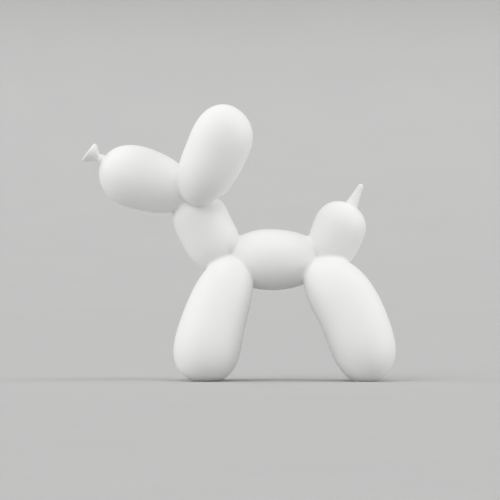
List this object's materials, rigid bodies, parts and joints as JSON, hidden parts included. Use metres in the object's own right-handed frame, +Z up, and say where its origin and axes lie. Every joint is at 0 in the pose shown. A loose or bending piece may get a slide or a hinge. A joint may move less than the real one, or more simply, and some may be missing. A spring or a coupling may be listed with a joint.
{
  "type": "balloon dog sculpture",
  "caption": "Standing dog ornament in the shape of a twisted modelling balloon, with a tied knot on the nose, raised ears and a short upright tail.",
  "frame": {"origin": "on the floor under the middle of the dog's box; the four soles lie in the plane z = 0", "axes": "+Z up, +X from the nose to the tail, +Y to the dog's right side"},
  "size_m": [0.2486, 0.104, 0.2206],
  "materials": {
    "matte_white_lacquer": "matte white lacquer on cast resin"
  },
  "bodies": {
    "root": {"balloon_dog": "matte_white_lacquer"}
  },
  "joints": []
}
